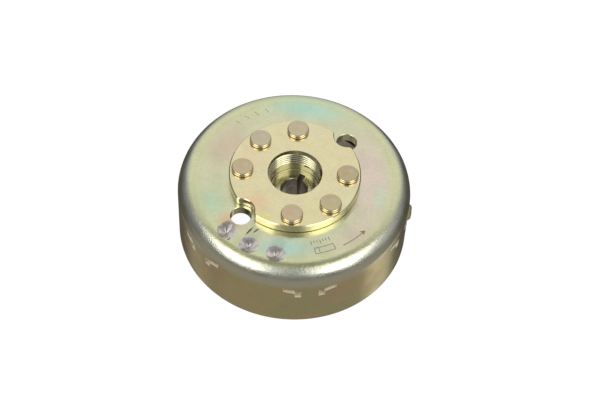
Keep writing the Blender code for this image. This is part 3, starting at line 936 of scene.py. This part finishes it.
def build_hub(context):
    """Turns the hub, threads it, scallops it round the tool holes and cuts its keyway."""
    hub = context.scene.flywheel_hub
    cup = context.scene.flywheel_cup
    rivets = context.scene.flywheel_rivets
    made = settle(turned("turned_hub", hub_profile(hub, cup)))
    cut_thread(made, hub)
    made.data.materials.append(chromate_on_turned_steel(hub))

    work = bmesh.new()
    low = cup.height - 1.0 * MM
    edge = 0.4 * MM
    over = 0.2 * MM
    for place in TOOL_PLACES:
        levels = (
            (0.0, low),
            (0.0, hub.flange_top - edge),
            (edge + over, hub.flange_top + over),
        )
        rings = []
        for grow, height in levels:
            outline = scallop_outline(hub, place_angle(place), grow)
            rings.append([(point.x, point.y, height) for point in outline])
        add_loft(work, rings)
    for place in RIVET_PLACES:
        radius = rivets.shank_radius + GAP
        profile = ((radius, low), (radius, hub.flange_top + 1.0 * MM))
        add_round(work, polar(RIVET_CIRCLE, place_angle(place)), profile, 32)
    combine(made, object_of("milled_shapes", work), "DIFFERENCE")

    nut_seat = hub.flange_top - hub.counterbore
    length_of_bore = nut_seat - hub.boss_end
    reach = hub.bore + BORE_TAPER * length_of_bore / 2 + 2.2 * MM
    lean = Matrix.Rotation(math.atan(BORE_TAPER), 4, "Y")
    turn = Matrix.Rotation(math.radians(KEYWAY_ANGLE), 4, "Z") @ lean
    place = Matrix.Translation((0.0, 0.0, (nut_seat + hub.boss_end) / 2)) @ turn
    work = bmesh.new()
    half_width = 1.5 * MM
    half_height = length_of_bore / 2 + 3.0 * MM
    rings = []
    for x in (0.0, reach):
        corners = ((-1, -1), (1, -1), (1, 1), (-1, 1))
        rings.append([place @ Vector((x, y * half_width, z * half_height)) for y, z in corners])
    add_loft(work, rings)
    combine(made, object_of("keyway_cutter", work, bored_steel()), "DIFFERENCE")
    bare = made.data.materials.find("Bare reamed steel")
    outside_bore = 8.2 * MM
    top_of_bore = nut_seat - 0.3 * MM
    for face in made.data.polygons:
        centre = face.center
        if math.hypot(centre.x, centre.y) < outside_bore and hub.boss_end < centre.z < top_of_bore:
            face.material_index = bare
    finish_piece(shade(made), "hub")


# Rivets


def rivet_profile(rivets, hub, cup):
    """A rivet's section: dished head, shank, and the tail formed inside the cup."""
    seat = hub.flange_top + GAP
    tail = cup.height - cup.face - GAP
    head = rivets.head_radius
    edge = rivets.head_edge
    tail_radius = 4.6 * MM
    dish = 0.04 * MM
    points = [(0.0, rivets.top - dish), (head - edge - 0.9 * MM, rivets.top - dish)]
    points += [(head - edge - 0.5 * MM, rivets.top)]
    points += arc((head - edge, rivets.top - edge), edge, 90.0, 0.0, 12)
    points += [(head, seat + 0.45 * MM)]
    points += arc((head - 0.35 * MM, seat + 0.35 * MM), 0.35 * MM, 0.0, -90.0, 5)
    points += [(rivets.shank_radius, seat), (rivets.shank_radius, tail)]
    points += [(tail_radius - 0.15 * MM, tail), (tail_radius, tail - 0.15 * MM)]
    points += [(tail_radius, tail - 0.7 * MM)]
    points += arc((tail_radius - 1.3 * MM, rivets.bottom + 1.3 * MM), 1.3 * MM, 0.0, -90.0, 8)
    points += [(0.0, rivets.bottom)]
    return points


RIVET_TINTS = (
    ("#BFAF8A", "#C79A66"),
    ("#C7B898", "#C9AC88"),
    ("#C5BA9C", "#C3B498"),
    ("#C6B692", "#D2A67C"),
    ("#CCB896", "#D4A678"),
    ("#C5B78F", "#C8B08A"),
)


def build_rivets(context):
    """Heads the six rivets, numbered anticlockwise as seen from above."""
    scene = context.scene
    profile = rivet_profile(scene.flywheel_rivets, scene.flywheel_hub, scene.flywheel_cup)
    for count, (place, tints) in enumerate(zip(RIVET_PLACES, RIVET_TINTS), start=1):
        made = settle(turned(f"headed_rivet_{count}", profile, 96, closed=False))
        centre = polar(RIVET_CIRCLE, place_angle(place))
        made.location = (centre.x, centre.y, 0.0)
        made.data.materials.append(chromate_on_rivet(f"Gold zinc chromate {count}", *tints))
        finish_piece(shade(made), f"rivet_{count}")


# Magnets, spacers and sleeve


def add_plate(work, outline, low, high):
    """Adds a flat outline between two heights."""
    add_loft(work, [[(x, y, z) for x, y in outline] for z in (low, high)])


def round_edges(made, width, segments=3):
    """Rounds an object's sharp edges."""
    bevel = made.modifiers.new("Edges", "BEVEL")
    bevel.width = width
    bevel.segments = segments
    bevel.limit_method = "ANGLE"
    bevel.angle_limit = math.radians(35.0)
    return settle(made)


def build_magnets(context):
    """Presses and grinds the six curved magnets."""
    magnets = context.scene.flywheel_magnets
    cup = context.scene.flywheel_cup
    outer = cup.radius - cup.wall - GAP
    half = MAGNET_PITCH / 2 - math.degrees(magnets.gap_half)
    outline = arc((0.0, 0.0), outer, -half, half, 40)
    outline += arc((0.0, 0.0), magnets.inner_radius, half, -half, 40)
    ferrite = sintered_ferrite()
    for count in range(1, MAGNET_COUNT + 1):
        work = bmesh.new()
        add_plate(work, outline, MAGNET_LOW.z, MAGNET_HIGH.z)
        made = round_edges(object_of(f"ground_magnet_{count}", work, ferrite), magnets.edge)
        made.rotation_euler.z = math.radians(FIRST_GAP + MAGNET_PITCH * (count - 0.5))
        finish_piece(shade(made), f"magnet_{count}")


def build_spacers(context):
    """Moulds the six spacers between the magnets."""
    magnets = context.scene.flywheel_magnets
    cup = context.scene.flywheel_cup
    outer = cup.radius - cup.wall - GAP
    inner = 46.0 * MM
    half = math.degrees(magnets.gap_half) - math.degrees(GAP / magnets.inner_radius)
    outline = arc((0.0, 0.0), outer, -half, half, 12)
    outline += [tuple(polar(inner, half))]
    outline += arc((inner, 0.0), magnets.groove, 90.0, -90.0, 16)
    outline += [tuple(polar(inner, -half))]
    nylon = moulded_nylon()
    for count in range(1, MAGNET_COUNT + 1):
        work = bmesh.new()
        add_plate(work, outline, SPACER_LOW.z, SPACER_HIGH.z)
        made = round_edges(object_of(f"moulded_spacer_{count}", work, nylon), 0.35 * MM)
        made.rotation_euler.z = math.radians(FIRST_GAP + MAGNET_PITCH * (count - 1))
        finish_piece(shade(made), f"magnet_spacer_{count}")


def build_sleeve(context):
    """Draws the thin sleeve inside the magnets, with its lip under their lower ends."""
    magnets = context.scene.flywheel_magnets
    outer = magnets.inner_radius - GAP
    inner = outer - magnets.sleeve
    low = SLEEVE_LOW.z
    lip_top = low + magnets.sleeve
    lip = SLEEVE_HIGH.x
    bend = 0.9 * MM
    profile = [(outer, SLEEVE_HIGH.z - 0.15 * MM), (outer, lip_top + 0.3 * MM)]
    profile += arc((outer + 0.3 * MM, lip_top + 0.3 * MM), 0.3 * MM, 180.0, 270.0, 4)
    profile += [(lip - 0.15 * MM, lip_top), (lip, lip_top - 0.15 * MM)]
    profile += [(lip, low + 0.15 * MM), (lip - 0.15 * MM, low)]
    profile += arc((inner + bend, low + bend), bend, -90.0, -180.0, 8)
    profile += [(inner, SLEEVE_HIGH.z - 0.15 * MM), (inner + 0.15 * MM, SLEEVE_HIGH.z)]
    profile += [(outer - 0.15 * MM, SLEEVE_HIGH.z)]
    made = settle(turned("drawn_sleeve", profile))
    finish_piece(shade(made), "magnet_sleeve", [drawn_stainless()])


# Stage


def build_floor():
    """A plain pale sheet that only the camera sees. Its back is clear, for views from below."""
    mesh = bpy.data.meshes.new("floor")
    work = bmesh.new()
    bmesh.ops.create_grid(work, x_segments=8, y_segments=8, size=2.0)
    work.to_mesh(mesh)
    work.free()
    floor = add_object("floor", mesh)
    material, tree = new_material("White paper sweep")
    paper = smooth(tree, noise(tree, place_of(tree), 60.0 * MM), 0.3, 0.7, 0.955, 0.965)
    white = node(tree, "ShaderNodeEmission", None, None, {"Strength": paper})
    matt = node(tree, "ShaderNodeBsdfDiffuse", None, {"Color": (0.10, 0.10, 0.10, 1.0)})
    lit = node(tree, "ShaderNodeAddShader", None, None, {0: white.outputs[0], 1: matt.outputs[0]})
    clear = node(tree, "ShaderNodeBsdfTransparent")
    side = node(tree, "ShaderNodeNewGeometry").outputs["Backfacing"]
    both = node(
        tree, "ShaderNodeMixShader", None, None, {0: side, 1: lit.outputs[0], 2: clear.outputs[0]}
    )
    node(tree, "ShaderNodeOutputMaterial", None, None, {"Surface": both.outputs[0]})
    mesh.materials.append(material)
    floor.visible_diffuse = False
    floor.visible_glossy = False
    floor.visible_transmission = False
    floor.visible_shadow = False


# Patches of light in the surroundings: a direction, the cosines of the angles from it at which
# the light starts and is full, and its strength
BACK_WALL = ((0.0, 0.79, 0.61), 0.60, 0.88, 0.68)
RIGHT_FILL = ((0.92, -0.09, 0.37), 0.90, 0.99, 0.25)
LOW_GLOWS = (
    ((0.57, 0.14, -0.81), 0.970, 0.998, 0.60),
    ((-0.56, 0.21, -0.80), 0.970, 0.998, 0.25),
    ((0.0, 0.99, -0.10), 0.880, 0.998, 0.60),
)

# The front softboxes: degrees to each side of the camera, above the horizon and rolled over,
# then metres wide, tall and away from the object
SOFTBOX_SIDE = 51.0
SOFTBOX_RISE = 47.0
SOFTBOX_ROLL = 36.0
SOFTBOX_WIDTH = 0.47
SOFTBOX_HEIGHT = 0.70
SOFTBOX_DISTANCE = 0.8


def build_surroundings(stage):
    """The studio round the object: a bright wall behind it that ends before it stands overhead,
    dim sides with a small fill at the right, and a dim table below the horizon. Two paler sheets
    lie beside the object on the table, and a low glow stands behind it."""
    world = bpy.data.worlds.new("Studio")
    bpy.context.scene.world = world
    world.use_nodes = True
    tree = world.node_tree
    tree.nodes.clear()
    way = node(tree, "ShaderNodeTexCoord").outputs["Generated"]
    axes = split(tree, way)

    def patch(aim, start, full, strength):
        """A soft patch of light round a direction."""
        toward = tuple(Vector(aim).normalized())
        cosine = vector_math(tree, "DOT_PRODUCT", {1: toward}, {0: way})
        return smooth(tree, cosine, start, full, 0.0, strength)

    dome = patch(*BACK_WALL)
    dome = times(tree, dome, smooth(tree, axes["Z"], 0.93, 0.84))
    dome = plus(tree, dome, smooth(tree, axes["Z"], -0.10, 0.75, 0.16, 0.36))
    dome = plus(tree, dome, patch(*RIGHT_FILL))
    dome = times(tree, dome, stage.overhead)
    table = smooth(tree, axes["Y"], 0.30, -0.20, 0.30, 1.0)
    table = times(tree, table, stage.under)
    for glow in LOW_GLOWS:
        table = plus(tree, table, patch(*glow))
    upper = smooth(tree, axes["Z"], -0.12, 0.05)
    cool, warm = linear("#FBFCFF"), linear("#FFF6E6")
    above = node(tree, "ShaderNodeBackground", None, {"Color": (*cool, 1.0)}, {"Strength": dome})
    below = node(tree, "ShaderNodeBackground", None, {"Color": (*warm, 1.0)}, {"Strength": table})
    both = node(
        tree, "ShaderNodeMixShader", None, None, {0: upper, 1: below.outputs[0], 2: above.outputs[0]}
    )
    node(tree, "ShaderNodeOutputWorld", None, None, {"Surface": both.outputs[0]})


def add_softbox(name, side, power):
    """A softbox aimed at the object, at the camera's left (-1) or right (1)."""
    light = bpy.data.lights.new(name, "AREA")
    light.shape = "RECTANGLE"
    light.size = SOFTBOX_WIDTH
    light.size_y = SOFTBOX_HEIGHT
    light.energy = power
    lamp = add_object(name, light)
    flat, rise = math.radians(side * SOFTBOX_SIDE), math.radians(SOFTBOX_RISE)
    way = Vector((math.sin(flat) * math.cos(rise), -math.cos(flat) * math.cos(rise), math.sin(rise)))
    lamp.location = way * SOFTBOX_DISTANCE
    roll = Matrix.Rotation(math.radians(side * -SOFTBOX_ROLL), 3, "Z")
    turn = way.to_track_quat("Z", "Y").to_matrix() @ roll
    lamp.rotation_euler = turn.to_euler()


def build_camera(stage):
    """The camera at the height and distance the object is shown from."""
    data = bpy.data.cameras.new("camera")
    data.lens = stage.lens
    data.sensor_width = 36.0
    data.shift_x = 0.0107
    data.shift_y = 0.0007
    camera = add_object("camera", data)
    way = Vector((0.0, -math.cos(stage.elevation), math.sin(stage.elevation)))
    place = Vector((0.0, 0.0, stage.aim_height)) + way * stage.distance
    roll = Matrix.Rotation(stage.roll, 4, "Z")
    turn = way.to_track_quat("Z", "Y").to_matrix().to_4x4()
    camera.matrix_world = Matrix.Translation(place) @ turn @ roll
    bpy.context.scene.camera = camera


def build_stage(context):
    """Sets out the floor, the surroundings, two front softboxes and the camera."""
    stage = context.scene.flywheel_stage
    build_floor()
    build_surroundings(stage)
    for name, side in (("softbox_left", -1.0), ("softbox_right", 1.0)):
        add_softbox(name, side, stage.softbox)
    build_camera(stage)
    context.scene.view_settings.view_transform = "Standard"


# Operators, panel and registration


class BuildStep:
    """What the build operators share. Each names its own step."""

    def execute(self, context):
        """Runs the step."""
        self.step(context)
        return {"FINISHED"}


class FLYWHEEL_OT_cup(BuildStep, Operator):
    """Draw the rotor cup with its stakes, lug, holes and drillings"""

    bl_idname = "flywheel.cup"
    bl_label = "Rotor cup"
    step = staticmethod(build_cup)


class FLYWHEEL_OT_hub(BuildStep, Operator):
    """Turn the hub with its thread, scallops and keyway"""

    bl_idname = "flywheel.hub"
    bl_label = "Hub"
    step = staticmethod(build_hub)


class FLYWHEEL_OT_rivets(BuildStep, Operator):
    """Head the six rivets"""

    bl_idname = "flywheel.rivets"
    bl_label = "Rivets"
    step = staticmethod(build_rivets)


class FLYWHEEL_OT_magnets(BuildStep, Operator):
    """Set the six magnets against the wall"""

    bl_idname = "flywheel.magnets"
    bl_label = "Magnets"
    step = staticmethod(build_magnets)


class FLYWHEEL_OT_spacers(BuildStep, Operator):
    """Set the spacers between the magnets"""

    bl_idname = "flywheel.spacers"
    bl_label = "Spacers"
    step = staticmethod(build_spacers)


class FLYWHEEL_OT_sleeve(BuildStep, Operator):
    """Fit the sleeve inside the magnets"""

    bl_idname = "flywheel.sleeve"
    bl_label = "Sleeve"
    step = staticmethod(build_sleeve)


class FLYWHEEL_OT_stage(BuildStep, Operator):
    """Set out the floor, lights and camera"""

    bl_idname = "flywheel.stage"
    bl_label = "Stage"
    step = staticmethod(build_stage)


SETTINGS = {
    "flywheel_cup": CupSettings,
    "flywheel_hub": HubSettings,
    "flywheel_rivets": RivetSettings,
    "flywheel_magnets": MagnetSettings,
    "flywheel_stage": StageSettings,
}
OPERATORS = (
    FLYWHEEL_OT_cup,
    FLYWHEEL_OT_hub,
    FLYWHEEL_OT_rivets,
    FLYWHEEL_OT_magnets,
    FLYWHEEL_OT_spacers,
    FLYWHEEL_OT_sleeve,
    FLYWHEEL_OT_stage,
)


class FLYWHEEL_PT_build(Panel):
    """The flywheel's sizes and build steps"""

    bl_idname = "FLYWHEEL_PT_build"
    bl_label = "Magneto flywheel"
    bl_space_type = "VIEW_3D"
    bl_region_type = "UI"
    bl_category = "Flywheel"

    def draw(self, context):
        for operator in OPERATORS:
            self.layout.operator(operator.bl_idname)
        for name, group in SETTINGS.items():
            box = self.layout.box()
            box.label(text=group.__doc__)
            for field in group.__annotations__:
                box.prop(getattr(context.scene, name), field)


def register():
    """Adds the settings, the operators and the panel."""
    for name, group in SETTINGS.items():
        bpy.utils.register_class(group)
        setattr(bpy.types.Scene, name, PointerProperty(type=group))
    for operator in OPERATORS:
        bpy.utils.register_class(operator)
    bpy.utils.register_class(FLYWHEEL_PT_build)


def unregister():
    """Takes them away again."""
    bpy.utils.unregister_class(FLYWHEEL_PT_build)
    for operator in reversed(OPERATORS):
        bpy.utils.unregister_class(operator)
    for name, group in reversed(SETTINGS.items()):
        delattr(bpy.types.Scene, name)
        bpy.utils.unregister_class(group)


def main():
    """Registers the tools and builds every piece in order."""
    register()
    bpy.ops.flywheel.cup()
    bpy.ops.flywheel.hub()
    bpy.ops.flywheel.rivets()
    bpy.ops.flywheel.magnets()
    bpy.ops.flywheel.spacers()
    bpy.ops.flywheel.sleeve()
    bpy.ops.flywheel.stage()


if __name__ == "__main__":
    main()
